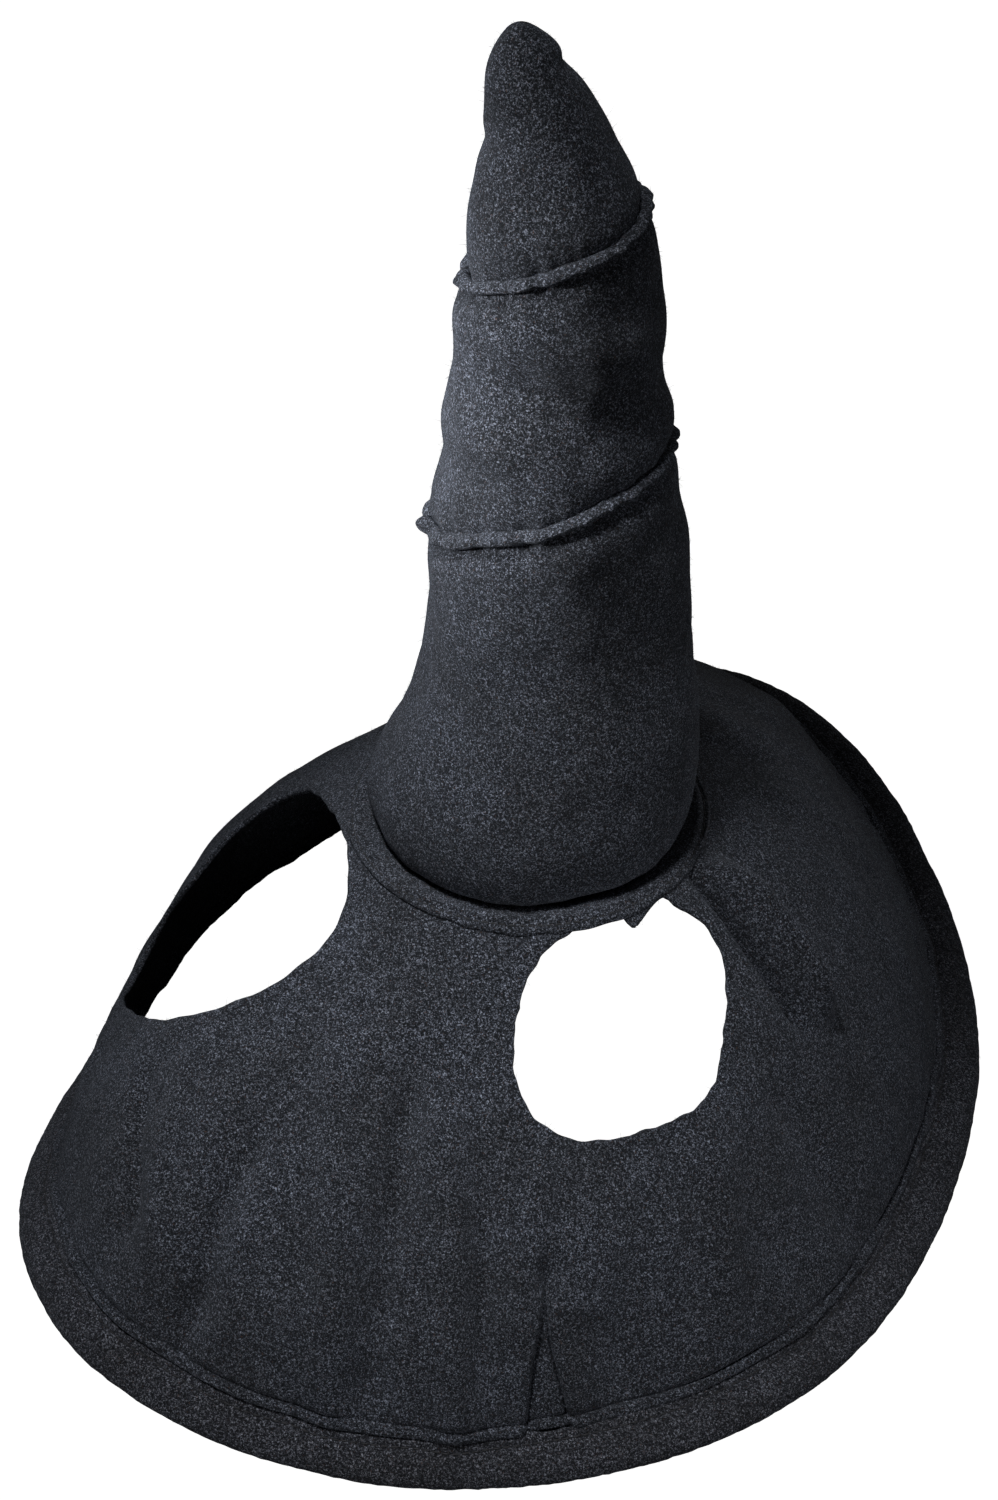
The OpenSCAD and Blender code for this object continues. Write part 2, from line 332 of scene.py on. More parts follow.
def crown_radius(z):
    """Radius of the crown at height z over the seam."""
    r = CROWN_R * np.sqrt(np.clip(1 - z / TIP_Z, 0, 1))
    for size, at, tall in SWELLS:
        r = r + size * bell(z - at, tall)
    return r * (1 - FOOT_PINCH * np.exp(-np.maximum(z, 0) / 4))


def crown_shift(z):
    """How far the crown's middle stands to the side, at height z over the seam."""
    rise = sum(size * smooth(z, start, end) for size, start, end in LEAN_STEPS)
    nod = np.clip((z - NOD_FROM) / NOD_REACH, 0, None) ** 1.5 * NOD
    return rise - nod - KINK * bell(z - KINK_AT, 9)


# Dents and bumps of the stuffing: height, turn round the crown, height over the seam, widths
DENTS = [
    (-2.2, 290, 232, 26, 9), (2.4, 272, 204, 16, 11), (-1.4, 330, 226, 18, 9),
    (1.6, 255, 128, 26, 16), (-1.4, 300, 108, 24, 14), (1.5, 320, 70, 30, 18),
    (-1.3, 262, 82, 22, 14), (1.2, 288, 30, 26, 16), (-1.6, 268, 322, 12, 8),
    (1.5, 250, 340, 10, 8), (-1.8, 235, 326, 9, 7), (1.4, 310, 300, 14, 10),
    (1.8, 30, 205, 16, 10), (1.6, 20, 150, 20, 12), (-1.5, 100, 120, 30, 20),
    (1.6, 140, 215, 24, 14), (-1.5, 180, 60, 30, 20), (1.5, 90, 310, 16, 12),
    (-3.8, 214, 172, 42, 14), (-2.4, 222, 184, 40, 13), (-2.6, 30, 168, 36, 19),
    (-1.8, 212, 84, 40, 22), (-2.4, 216, 317, 14, 5), (-1.6, 28, 346, 9, 4),
    (1.8, 20, 354, 8, 4), (3.4, 258, 210, 20, 10), (-2.8, 276, 238, 22, 9),
    (-1.6, 330, 262, 20, 9), (1.4, 305, 252, 20, 10), (-1.3, 300, 300, 14, 8),
]


def tuck_axis(tuck):
    """The way up from a tuck's sloping plane."""
    slope, turn = math.radians(TUCK_SLOPE), math.radians(tuck["turn"])
    level = -math.sin(slope)
    return np.array([level * math.cos(turn), level * math.sin(turn), math.cos(slope)])


SAG = 6.0
SAG_AT = 214
SAG_WIDE = 34


def sag(phi):
    """How far a tuck's line hangs under its plane at the left, in mm."""
    return SAG * bell(turned(np.degrees(phi) - SAG_AT), SAG_WIDE)


def from_tuck(tuck, points, phi):
    """How far points lie over a tuck's line."""
    return (points - tuck["centre"]) @ tuck_axis(tuck) + sag(phi)


def crown_bare(phi, z):
    """The crown without its dents: points, ways out and radii."""
    r = crown_radius(z)
    out = np.stack([np.cos(phi), np.sin(phi), np.zeros_like(phi)], -1)
    middle = crown_shift(z)[..., None] * SIDE
    middle = middle + np.stack([0 * z, 0 * z, z + SEAM_Z], -1)
    return middle + r[..., None] * out, out, r


# Puckers beside a tuck: how many in one turn, and their phase
TUCK_PUCKERS = [(11, 0.4), (17, 2.1), (23, 4.0), (31, 1.2)]
PUCKER = 0.35
TUCK_PINCH = 2.6
UNDER_TUCK_PINCH = 2.2
TUCK_SWELL = 1.1
SEAM_PUCKERS = 29
SEAM_PUCKER = 0.22


def crown_point(phi, z, inset=0.0):
    """The crown's felt at (phi, z), or as far inside it as the inset says."""
    bare, out, r = crown_bare(phi, z)
    height = -inset + np.zeros_like(z)
    for h, turn, at, width, tall in DENTS:
        arc = turned(np.degrees(phi) - turn) * math.pi / 180 * r
        height += h * bell(arc, width) * bell(z - at, tall)
    for tuck, reach in ((LOWER_TUCK, 1.0), (UPPER_TUCK, 0.8)):
        d = from_tuck(tuck, bare, phi)
        pucker = sum(np.sin(k * phi + p) for k, p in TUCK_PUCKERS)
        height += reach * (PUCKER * pucker * np.exp(-np.abs(d) / 10) - TUCK_PINCH * bell(d, 4.5))
        height -= reach * UNDER_TUCK_PINCH * bell(d + 4.6, 2.4)
        height += reach * TUCK_SWELL * bell(np.abs(d) - 15, 9)
    height += SEAM_PUCKER * np.sin(SEAM_PUCKERS * phi + 1) * np.exp(-np.maximum(z, 0) / 12)
    height += (0.8 * waver(bare, 26, 11) + 0.35 * waver(bare, 9, 12)) * np.clip(r / 30, 0, 1)
    scale = np.maximum(1 + height / np.maximum(r, 1), 0.02)
    scale = np.where(r < 6, 1 - inset / 60, scale)
    middle = bare - out * r[..., None]
    lift = np.zeros_like(z) - inset * smooth(z, 300, 365) * 0.9
    return middle + out * (r * scale)[..., None] + lift[..., None] * np.array([0, 0, 1])


def height_on(tuck, phi, off=0.0):
    """Height over the seam where the crown meets a tuck's plane, at each turn phi."""
    c, n = tuck["centre"], tuck_axis(tuck)
    z = np.full_like(phi, c[2] - SEAM_Z)
    for _ in range(12):
        p = crown_bare(phi, z)[0]
        z = c[2] - SEAM_Z + (off - sag(phi) - (p[..., 0] - c[0]) * n[0] - (p[..., 1] - c[1]) * n[1]) / n[2]
    return z


# ---- making meshes ----
def new_piece(name, points, faces, material):
    """A smooth mesh from points in mm."""
    mesh = bpy.data.meshes.new(name)
    mesh.from_pydata((np.asarray(points) / 1000).tolist(), [], [list(map(int, f)) for f in faces])
    mesh.update()
    mesh.polygons.foreach_set("use_smooth", [True] * len(mesh.polygons))
    mesh.materials.append(material)
    piece = bpy.data.objects.new(name, mesh)
    scene.collection.objects.link(piece)
    return piece


def grid(rows, cols, wrap_rows=False, first=0):
    """Quads of a grid whose columns close on themselves."""
    faces = []
    for i in range(rows if wrap_rows else rows - 1):
        for j in range(cols):
            a, b = first + i * cols + j, first + i * cols + (j + 1) % cols
            c = first + (i + 1) % rows * cols + (j + 1) % cols
            d = first + (i + 1) % rows * cols + j
            faces.append((a, b, c, d))
    return faces


def caps(rows, cols):
    """The faces that close both ends of a grid."""
    return [tuple(range(cols - 1, -1, -1)), tuple((rows - 1) * cols + k for k in range(cols))]


def capped_tubes(centres, side, up, radii, sides=6):
    """Many closed tubes at once. centres is (tubes, rings, 3); side and up span each ring."""
    tubes, rings = centres.shape[:2]
    turn = np.arange(sides) * 2 * math.pi / sides
    ring = (
        np.cos(turn)[None, None, :, None] * side[:, :, None, :]
        + np.sin(turn)[None, None, :, None] * up[:, :, None, :]
    )
    points = centres[:, :, None, :] + ring * radii[:, :, None, None]
    one = grid(rings, sides) + caps(rings, sides)
    each = rings * sides
    faces = [tuple(v + n * each for v in f) for n in range(tubes) for f in one]
    return points.reshape(-1, 3), faces


def along(path, places):
    """Points at fractions of a closed path's length."""
    loop = np.vstack([path, path[:1]])
    run = np.concatenate([[0], np.cumsum(np.linalg.norm(np.diff(loop, axis=0), axis=1))])
    s = np.mod(places, 1) * run[-1]
    return np.stack([np.interp(s, run, loop[:, k]) for k in range(3)], -1)


STITCH_RINGS = 6


def stitch_row(name, path, out, pitch, length, r, material, seed):
    """A row of sunk single stitches along a closed path; out gives each point's outward way."""
    dice = np.random.default_rng(seed)
    total = np.linalg.norm(np.diff(np.vstack([path, path[:1]]), axis=0), axis=1).sum()
    count = int(round(total / pitch))
    u = np.linspace(-0.5, 0.5, STITCH_RINGS)
    start = (np.arange(count) + dice.uniform(-0.08, 0.08, count)) / count
    places = start[:, None] + u[None, :] * length / total
    centres = along(path, places)
    up = along(out, places)
    up /= np.linalg.norm(up, axis=-1, keepdims=True)
    way = centres[:, -1:] - centres[:, :1]
    way = way / np.linalg.norm(way, axis=-1, keepdims=True)
    side = np.cross(up, way)
    side /= np.linalg.norm(side, axis=-1, keepdims=True)
    arch = 1 - (2 * u) ** 2
    centres = centres + up * (r * (1.1 * arch - 0.5))[None, :, None]
    centres = centres + side * (dice.uniform(-0.25, 0.25, (count, 1, 1)) * u[None, :, None])
    radii = r * (0.55 + 0.45 * arch)[None, :] * dice.uniform(0.9, 1.1, (count, 1))
    points, faces = capped_tubes(centres, side, up, radii)
    return new_piece(name, points, faces, material)


def fuzz_from(name, spots, ways, long, thick, material, seed):
    """Stray fibres: thin closed hairs rooted at spots, leaning from the surface."""
    dice = np.random.default_rng(seed)
    n = len(spots)
    lean = dice.normal(size=(n, 3))
    lean -= (lean * ways).sum(-1, keepdims=True) * ways
    lean /= np.linalg.norm(lean, axis=-1, keepdims=True) + 1e-9
    rise = dice.uniform(0.15, 0.95, (n, 1))
    way = ways * rise + lean * np.sqrt(1 - rise**2)
    curl = np.cross(way, dice.normal(size=(n, 3))) * dice.uniform(0.1, 0.6, (n, 1))
    length = long * dice.uniform(0.35, 1, (n, 1)) ** 1.6
    u = np.array([0, 0.35, 0.7, 1.0])
    centres = spots[:, None] - ways[:, None] * 0.25 + (
        way[:, None] * u[None, :, None] + curl[:, None] * (u**2)[None, :, None]
    ) * length[:, None]
    side = np.cross(way, ways + 0.3 * lean[:, [1, 2, 0]])
    side /= np.linalg.norm(side, axis=-1, keepdims=True) + 1e-9
    up = np.cross(side, way)
    radii = np.array([1, 0.85, 0.6, 0.15])[None, :] * dice.uniform(0.6, 1.1, (n, 1)) * thick
    shape = (n, len(u), 3)
    points, faces = capped_tubes(
        centres, np.broadcast_to(side[:, None], shape), np.broadcast_to(up[:, None], shape), radii, 3
    )
    return new_piece(name, points, faces, material)


def scatter(points, faces, count, seed):
    """Random spots on three- or four-cornered faces, spread evenly by area, and their ways out."""
    dice = np.random.default_rng(seed)
    halves = [f[:3] for f in faces] + [(f[0], f[2], f[3]) for f in faces if len(f) > 3]
    tri = np.array(halves)
    p = np.asarray(points)[tri]
    n = np.cross(p[:, 1] - p[:, 0], p[:, 2] - p[:, 0])
    size = np.linalg.norm(n, axis=-1)
    pick = dice.choice(len(tri), count, p=size / size.sum())
    w = dice.dirichlet((1, 1, 1), count)
    return (p[pick] * w[..., None]).sum(1), n[pick] / (size[pick][:, None] + 1e-12)


# ---- materials ----
def grey(value):
    return (value, value, value)


def shader(name):
    """A new material, its nodes and its main shader."""
    material = bpy.data.materials.new(name)
    material.use_nodes = True
    tree = material.node_tree
    return material, tree, tree.nodes["Principled BSDF"]


def noise(tree, place, scale, detail=2.0, rough=0.55, distortion=0.0):
    node = tree.nodes.new("ShaderNodeTexNoise")
    node.inputs["Scale"].default_value = scale
    node.inputs["Detail"].default_value = detail
    node.inputs["Roughness"].default_value = rough
    node.inputs["Distortion"].default_value = distortion
    tree.links.new(place, node.inputs["Vector"])
    return node.outputs["Fac"]


def ramp(tree, value, stops):
    """Colours picked by a value, between stops of (value, colour)."""
    node = tree.nodes.new("ShaderNodeValToRGB")
    band = node.color_ramp
    while len(band.elements) < len(stops):
        band.elements.new(0.5)
    for element, (at, colour) in zip(band.elements, stops):
        element.position = at
        element.color = (*colour, 1)
    tree.links.new(value, node.inputs["Fac"])
    return node.outputs["Color"]


def mixed(tree, how, share, a, b):
    node = tree.nodes.new("ShaderNodeMix")
    node.data_type = "RGBA"
    node.blend_type = how
    if isinstance(share, float):
        node.inputs[0].default_value = share
    else:
        tree.links.new(share, node.inputs[0])
    for socket, value in ((node.inputs[6], a), (node.inputs[7], b)):
        if isinstance(value, tuple):
            socket.default_value = (*value, 1)
        else:
            tree.links.new(value, socket)
    return node.outputs[2]


def bump(tree, value, strength, distance, before=None):
    node = tree.nodes.new("ShaderNodeBump")
    node.inputs["Strength"].default_value = strength
    node.inputs["Distance"].default_value = distance
    tree.links.new(value, node.inputs["Height"])
    if before is not None:
        tree.links.new(before, node.inputs["Normal"])
    return node.outputs["Normal"]


# Scales of the felt's noises: matted fibre, hairs, clouds of tone and specks of lint
FIBRE_SCALE = 1250
HAIR_SCALE = 760
CLOUD_SCALE = 28
LINT_SCALE = 1100
LINT = (0.075, 0.036, 0.02)


def felt(name, deep, mid, fleck):
    """Needled felt: dark matted fibre with light flecks, warm lint and faint clouds of tone."""
    material, tree, skin = shader(name)
    place = tree.nodes.new("ShaderNodeTexCoord").outputs["Object"]
    fine = noise(tree, place, FIBRE_SCALE, 1.5, 0.6, 0.8)
    hairs = noise(tree, place, HAIR_SCALE, 2.5, 0.7, 2.5)
    clouds = noise(tree, place, CLOUD_SCALE, 3, 0.6)
    body = ramp(tree, fine, [(0.4, deep), (0.51, mid), (0.61, fleck)])
    strand_tones = [(0.4, (0.16, 0.16, 0.17)), (0.51, (0.75, 0.75, 0.77)), (0.62, (3.0, 3.05, 3.2))]
    strands = ramp(tree, hairs, strand_tones)
    patches = ramp(tree, clouds, [(0.35, (0.84, 0.83, 0.82)), (0.65, (1.16, 1.17, 1.2))])
    colour = mixed(tree, "MULTIPLY", 1.0, body, strands)
    colour = mixed(tree, "MULTIPLY", 1.0, colour, patches)
    specks = noise(tree, place, LINT_SCALE, 1, 0.5)
    colour = mixed(tree, "ADD", 1.0, colour, ramp(tree, specks, [(0.7, grey(0)), (0.74, LINT)]))
    tree.links.new(colour, skin.inputs["Base Color"])
    dull = ramp(tree, hairs, [(0.3, grey(0.86)), (0.7, grey(1))])
    tree.links.new(dull, skin.inputs["Roughness"])
    skin.inputs["Specular IOR Level"].default_value = 0.25
    skin.inputs["Sheen Weight"].default_value = 0.12
    skin.inputs["Sheen Roughness"].default_value = 0.6
    skin.inputs["Sheen Tint"].default_value = (0.62, 0.7, 0.85, 1)
    rough = bump(tree, hairs, 0.75, 0.0013)
    tree.links.new(bump(tree, fine, 0.6, 0.0006, rough), skin.inputs["Normal"])
    return material


def grained(name, grain, colours, roughness, relief):
    """A material whose colour, roughness and bump all follow one noise."""
    material, tree, skin = shader(name)
    place = tree.nodes.new("ShaderNodeTexCoord").outputs["Object"]
    value = noise(tree, place, *grain)
    low, high = roughness
    tree.links.new(ramp(tree, value, colours), skin.inputs["Base Color"])
    tree.links.new(ramp(tree, value, [(0.3, grey(low)), (0.7, grey(high))]), skin.inputs["Roughness"])
    tree.links.new(bump(tree, value, *relief), skin.inputs["Normal"])
    return material, skin


BRIM_FELT = felt("brim_felt", (0.005, 0.006, 0.0075), (0.025, 0.028, 0.035), (0.15, 0.163, 0.192))
CROWN_FELT = felt("crown_felt", (0.005, 0.006, 0.0075), (0.025, 0.028, 0.035), (0.15, 0.163, 0.192))
HEM_FELT = felt("hem_felt", (0.006, 0.006, 0.0075), (0.029, 0.03, 0.036), (0.15, 0.156, 0.176))
THREAD, _ = grained(
    "dark_thread", (1500, 2, 0.5, 0.6), [(0.35, (0.008, 0.008, 0.01)), (0.65, (0.05, 0.052, 0.06))],
    (0.55, 0.8), (0.6, 0.0003),
)
FILL, _ = grained(
    "fibre_fill", (160, 4, 0.7, 2.0), [(0.3, (0.6, 0.6, 0.57)), (0.7, (0.87, 0.87, 0.85))],
    (0.85, 1), (0.7, 0.002),
)
STEEL, steel_skin = grained(
    "wire_steel", (700, 3, 0.6), [(0.35, (0.4, 0.41, 0.43)), (0.65, (0.6, 0.61, 0.63))],
    (0.28, 0.5), (0.2, 0.0001),
)
steel_skin.inputs["Metallic"].default_value = 1
for node_name, material in (("base_disc", CROWN_FELT), ("rim_wire", STEEL), ("wire_joiner", STEEL)):
    body_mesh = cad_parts[node_name].data
    body_mesh.materials.clear()
    body_mesh.materials.append(material)

BASE, MIDDLE, TOP = "brim_and_lower_crown", "middle_crown", "top_crown"


# ---- the brim: one sheet of felt with two holes cut in it ----
def packed_angles(count):
    """Angles all round, closer together near the pleat and the fold by the right hole."""
    a = np.linspace(-180, 180, 2000)
    weight = 1 + 2.6 * bell(a - 32, 6) + 1.0 * bell(a - 90, 10) + 0.5 * bell(a - 131, 9)
    run = np.concatenate([[0], np.cumsum((weight[1:] + weight[:-1]) / 2)])
    return np.interp(np.linspace(0, 1, count, endpoint=False), run / run[-1], a)


SNAP = 0.85
LIP = 0.45


def snapped(t, a):
    """Moves places close to a hole's outline onto it. f is how far each lies outside it."""
    f = clearance(t, a)
    ft = (clearance(t + 1e-3, a) - f) / (1e-3 * chord(a))
    arc = np.linalg.norm(brim_plain(t, a)[:, :2], axis=-1) * math.pi / 180
    fa = (clearance(t, a + 0.05) - f) / (0.05 * arc)
    near = np.abs(f) < SNAP
    steep = np.maximum(ft**2 + fa**2, 0.2)
    snapped_t = np.where(near, t - f * ft / steep / chord(a), t)
    snapped_a = np.where(near, a - f * fa / steep / arc, a)
    return snapped_t, snapped_a, np.where(near, 0, f)


def cut_sheet(angles, ts):
    """Places (t, a) and triangles of the brim outside both holes, with clean cut edges."""
    rows, cols = len(angles), len(ts)
    a, t = (g.ravel() for g in np.meshgrid(angles, ts, indexing="ij"))
    t, a, f = snapped(t, a)
    t, a, f = list(t), list(a), list(f)
    made, triangles = {}, []

    def crossing(i, j):
        key = (min(i, j), max(i, j))
        if key not in made:
            share = f[i] / (f[i] - f[j])
            t.append(t[i] + share * (t[j] - t[i]))
            a.append(a[i] + share * turned(a[j] - a[i]))
            f.append(0.0)
            made[key] = len(t) - 1
        return made[key]

    for i in range(rows):
        for j in range(cols - 1):
            p, q = i * cols + j, i * cols + j + 1
            s, r = (i + 1) % rows * cols + j, (i + 1) % rows * cols + j + 1
            for tri in ((p, q, r), (p, r, s)) if (i + j) % 2 else ((p, q, s), (q, r, s)):
                if max(f[v] for v in tri) <= 0:
                    continue
                corners = []
                for v, w in zip(tri, tri[1:] + tri[:1]):
                    if f[v] >= 0:
                        corners.append(v)
                    if f[v] * f[w] < 0:
                        corners.append(crossing(v, w))
                for k in range(1, len(corners) - 1):
                    triangles.append((corners[0], corners[k], corners[k + 1]))
    used = sorted({v for tri in triangles for v in tri})
    number = {v: k for k, v in enumerate(used)}
    triangles = [tuple(number[v] for v in tri) for tri in triangles]
    return np.array(t)[used], np.array(a)[used], triangles


def thick_sheet(middle, ways, triangles, thick):
    """Gives a sheet its two faces and, returned apart, its edges, each with a rounded lip."""
    n = len(middle)
    outer, inner = middle + ways * thick / 2, middle - ways * thick / 2
    edges = dict.fromkeys((v, w) for tri in triangles for v, w in zip(tri, tri[1:] + tri[:1]))
    border = [(v, w) for (v, w) in edges if (w, v) not in edges]
    lip = {}
    points = [*outer, *inner]
    outward = {v: np.zeros(3) for e in border for v in e}
    for v, w in border:
        step = middle[w] - middle[v]
        away = np.cross(step, ways[v])
        away = away / (np.linalg.norm(away) + 1e-9)
        outward[v] = outward[v] + away
        outward[w] = outward[w] + away
    for v, away in outward.items():
        lip[v] = len(points)
        points.append(middle[v] + away / (np.linalg.norm(away) + 1e-9) * LIP)
    faces = list(triangles) + [(c + n, b + n, a + n) for a, b, c in triangles]
    rim = []
    for v, w in border:
        rim += [(w, v, lip[v], lip[w]), (lip[w], lip[v], v + n, w + n)]
    return np.array(points), faces, rim


# Rows down the slope: two in under the collar, then evenly, then closer together by the rim
down_ts = np.concatenate([[-0.03, -0.015], np.linspace(0, 0.88, 66), np.linspace(0.888, 1, 23)])
sheet_t, sheet_a, sheet_triangles = cut_sheet(packed_angles(470), down_ts)
sheet_middle = brim_surface(sheet_t, sheet_a)
sheet_ways = normal_of(brim_surface, np.maximum(sheet_t, 0.005), sheet_a)
sheet_ways[sheet_t < 0] = (0, 0, 1)
sheet_points, sheet_faces, sheet_rim = thick_sheet(sheet_middle, sheet_ways, sheet_triangles, FELT_T)
brim = new_piece("brim_sheet", sheet_points, sheet_faces + sheet_rim, BRIM_FELT)
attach(brim, BASE)
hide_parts("brim_panel")

# ---- the hem: a felt strip folded over the rim, sunk along its stitches ----
BIND_IN = 1.85
BIND_OUT = 3.3
STITCH_IN = 9.4
STITCH_SINK = 0.95
STITCH_LOW = 0.62
NOSE_FROM = 1.5
NOSE = 4.1


def hem_outline():
    """[out past the rim, off the brim's middle] round one slice of the folded strip."""
    u = np.linspace(-HEM_W, NOSE_FROM, 18)
    plump = BIND_OUT - STITCH_SINK * bell(u + STITCH_IN, 1.0)
    plump = plump + 0.35 * bell(u + 4.5, 3.5) + 0.15 * bell(u + 11, 0.8)
    fold = np.linspace(0, math.pi, 12)[1:-1]
    nose = [(NOSE_FROM + NOSE * math.sin(f), BIND_OUT * math.cos(f)) for f in fold]
    back = [(x, -v) for x, v in zip(u[::-1], plump[::-1])]
    edge = [(-HEM_W - 0.25, 2.5)]
    inner = [(-HEM_W, BIND_IN), (-3, BIND_IN), (2.4, BIND_IN)]
    under = [(x, -v) for x, v in edge + inner]
    return np.array([*zip(u, plump), *nose, *back, *under, (3.6, 0), *inner[::-1], *edge])


hem_a = packed_angles(600)
hem_shape = hem_outline()


def off_brim(u, v, a):
    """A point u out past the rim and v off the brim's middle."""
    t = 1 + u / chord(a)
    return brim_surface(t, a) + v[..., None] * normal_of(brim_surface, t, a)


uu, aa = np.meshgrid(hem_shape[:, 0], hem_a)
vv, _ = np.meshgrid(hem_shape[:, 1], hem_a)
edge_wander = 0.35 * waver(brim_plain(np.ones_like(hem_a), hem_a), 9, 21)[:, None]
uu = uu + edge_wander * (uu < -HEM_W + 1.2)
hem_points = off_brim(uu, vv, aa).reshape(-1, 3)
hem_points = hem_points + 0.16 * wavers(hem_points, 2.6, (22, 23, 24))
hem_faces = [f[::-1] for f in grid(len(hem_a), len(hem_shape), wrap_rows=True)]
hem = new_piece("hem_strip", hem_points, hem_faces, HEM_FELT)
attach(hem, BASE)
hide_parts("rim_binding")

round_a = np.linspace(-180, 180, 720, endpoint=False)
stitches = {}
for word, face in (("outer", 1), ("inner", -1)):
    level = np.full_like(round_a, face * (BIND_OUT - STITCH_LOW))
    path = off_brim(np.full_like(round_a, -STITCH_IN), level, round_a)
    out = face * normal_of(brim_surface, 1 - STITCH_IN / chord(round_a), round_a)
    stitches[word] = stitch_row(f"hem_stitches_{word}", path, out, 4.2, 3.3, 0.42, THREAD, 31 + face)
    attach(stitches[word], BASE)
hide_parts("hem_stitching")

# ---- the collar: the crown felt's seam allowance, stitched flat on the brim ----
COLLAR_T = 2.2
COLLAR_SEW_R = 77.3


def brim_top_z(r, a):
    """Height of the brim's outer face close round the crown."""
    near, far = brim_plain(np.zeros_like(a), a), brim_plain(np.full_like(a, 0.03), a)
    fall = (near[..., 2] - far[..., 2]) / (
        np.hypot(far[..., 0], far[..., 1]) - np.hypot(near[..., 0], near[..., 1])
    )
    return SEAM_Z + 0.25 - fall * np.maximum(r - BRIM_TOP_R, 0)


collar_r = np.array([67, 69, 71, 73, 74.5, 75.7, 76.6, 77.3, 78, 78.7, 79.2])
collar_rise = COLLAR_T - 0.75 * bell(collar_r - COLLAR_SEW_R, 0.8) + 0.5 * bell(collar_r - 74, 1.8)
collar_edge = [(79.6, 1.3), (79.7, 0.7), (79.2, 0)]
profile = [*zip(collar_r, collar_rise), *collar_edge, *((r, 0) for r in (76.5, 73.5, 70, 67))]
collar_a = np.linspace(-180, 180, 360, endpoint=False)
rr, aa = np.meshgrid([p[0] for p in profile], collar_a)
hh, _ = np.meshgrid([p[1] for p in profile], collar_a)
ragged = 0.4 * waver(brim_plain(np.zeros_like(collar_a), collar_a), 7, 41)[:, None]
rr = rr + ragged * (rr > 78.3)
zz = brim_top_z(rr, aa) + hh
collar_points = np.stack([rr * np.sin(rad(aa)), -rr * np.cos(rad(aa)), zz], -1).reshape(-1, 3)
collar_points[:, 2] += 0.12 * waver(collar_points, 3.5, 42) * (hh.ravel() > 0.5)
collar = new_piece("crown_collar_felt", collar_points,
                   [f[::-1] for f in grid(len(collar_a), len(profile), wrap_rows=True)],
                   CROWN_FELT)
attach(collar, BASE)
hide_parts("crown_collar")
sew_z = brim_top_z(np.full_like(round_a, COLLAR_SEW_R), round_a) + COLLAR_T - STITCH_LOW
sew_path = np.stack([COLLAR_SEW_R * np.sin(rad(round_a)), -COLLAR_SEW_R * np.cos(rad(round_a)), sew_z], -1)
collar_stitches = stitch_row("collar_stitches", sew_path, np.broadcast_to([0, 0, 1.0], sew_path.shape),
                             3.9, 3.0, 0.4, THREAD, 43)
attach(collar_stitches, BASE)
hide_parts("collar_stitching")

# ---- the crown's three stuffed sections ----
SKIN_T = 2.2
PHI = np.linspace(0, 2 * math.pi, 288, endpoint=False)


def section_rings(low, high, shares):
    """Heights of the rings of one section, from its low end's heights to its high end's."""
    return low[None, :] + (high - low)[None, :] * np.asarray(shares)[:, None]


def skin(name, low, high, shares, closed_top=False):
    """One section's felt: an outer face, an inner face and the cut ends. Returns the outer face too."""
    z = section_rings(low, high, shares)
    phi = np.broadcast_to(PHI, z.shape)
    outer, inner = crown_point(phi, z), crown_point(phi, z, SKIN_T)
    rows, cols = z.shape
    n = rows * cols
    top = n - cols
    points = np.concatenate([outer.reshape(-1, 3), inner.reshape(-1, 3)])
    outer_faces = grid(rows, cols)
    faces = outer_faces + [f[::-1] for f in grid(rows, cols, first=n)]
    for j in range(cols):
        k = (j + 1) % cols
        faces.append((k, j, n + j, n + k))
        if not closed_top:
            faces.append((top + j, top + k, n + top + k, n + top + j))
    if closed_top:
        faces.append(tuple(top + j for j in range(cols)))
        faces.append(tuple(n + top + j for j in range(cols))[::-1])
    piece = new_piece(name, points, faces, CROWN_FELT)
    return piece, points, outer_faces


TUCK_GAP = 0.2
base_low = np.full_like(PHI, 2.6)
tip_high = np.full_like(PHI, TIP_Z - 0.15)
lower_in, lower_out = (height_on(LOWER_TUCK, PHI, off) for off in (-TUCK_GAP, TUCK_GAP))
upper_in, upper_out = (height_on(UPPER_TUCK, PHI, off) for off in (-TUCK_GAP, TUCK_GAP))
# The rings stand closer together by the base seam and by the tip
tip_shares = 1 - (1 - np.linspace(0, 1, 52)) ** 2.0
sections = {
    "lower": skin("crown_lower_skin", base_low, lower_in, np.linspace(0, 1, 84) ** 1.15),
    "middle": skin("crown_middle_skin", lower_out, upper_in, np.linspace(0, 1, 56)),
    "tip": skin("crown_tip_skin", upper_out, tip_high, tip_shares, closed_top=True),
}
for word, (piece, _, _) in sections.items():
    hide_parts(f"crown_{word}")


def bends_with(piece):
    """Bakes a piece's placement into its mesh points."""
    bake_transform(piece)


bends_with(sections["lower"][0])
bends_with(sections["middle"][0])
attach(sections["tip"][0], TOP)

# ---- the stuffing in each section ----
FILL_PHI = PHI[::3]
FILL_INSET = 5
FILL_ROUNDING = 12


def fibre_fill(name, low, high, count, node_name, body):
    """The fibre in one section, rounded off at both ends."""
    shares = np.linspace(0, 1, count)
    z = section_rings(low, high, shares)
    phi = np.broadcast_to(FILL_PHI, z.shape)
    from_end = np.minimum(shares, 1 - shares)
    inset = FILL_INSET + FILL_ROUNDING * np.exp(-from_end * 16)[:, None] + 0 * z
    points = crown_point(phi, z, inset).reshape(-1, 3)
    points = points + 0.7 * wavers(points, 9, (51, 52, 53))
    rows, cols = z.shape
    piece = new_piece(name, points, grid(rows, cols) + caps(rows, cols), FILL)
    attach(piece, body)
    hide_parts(node_name)


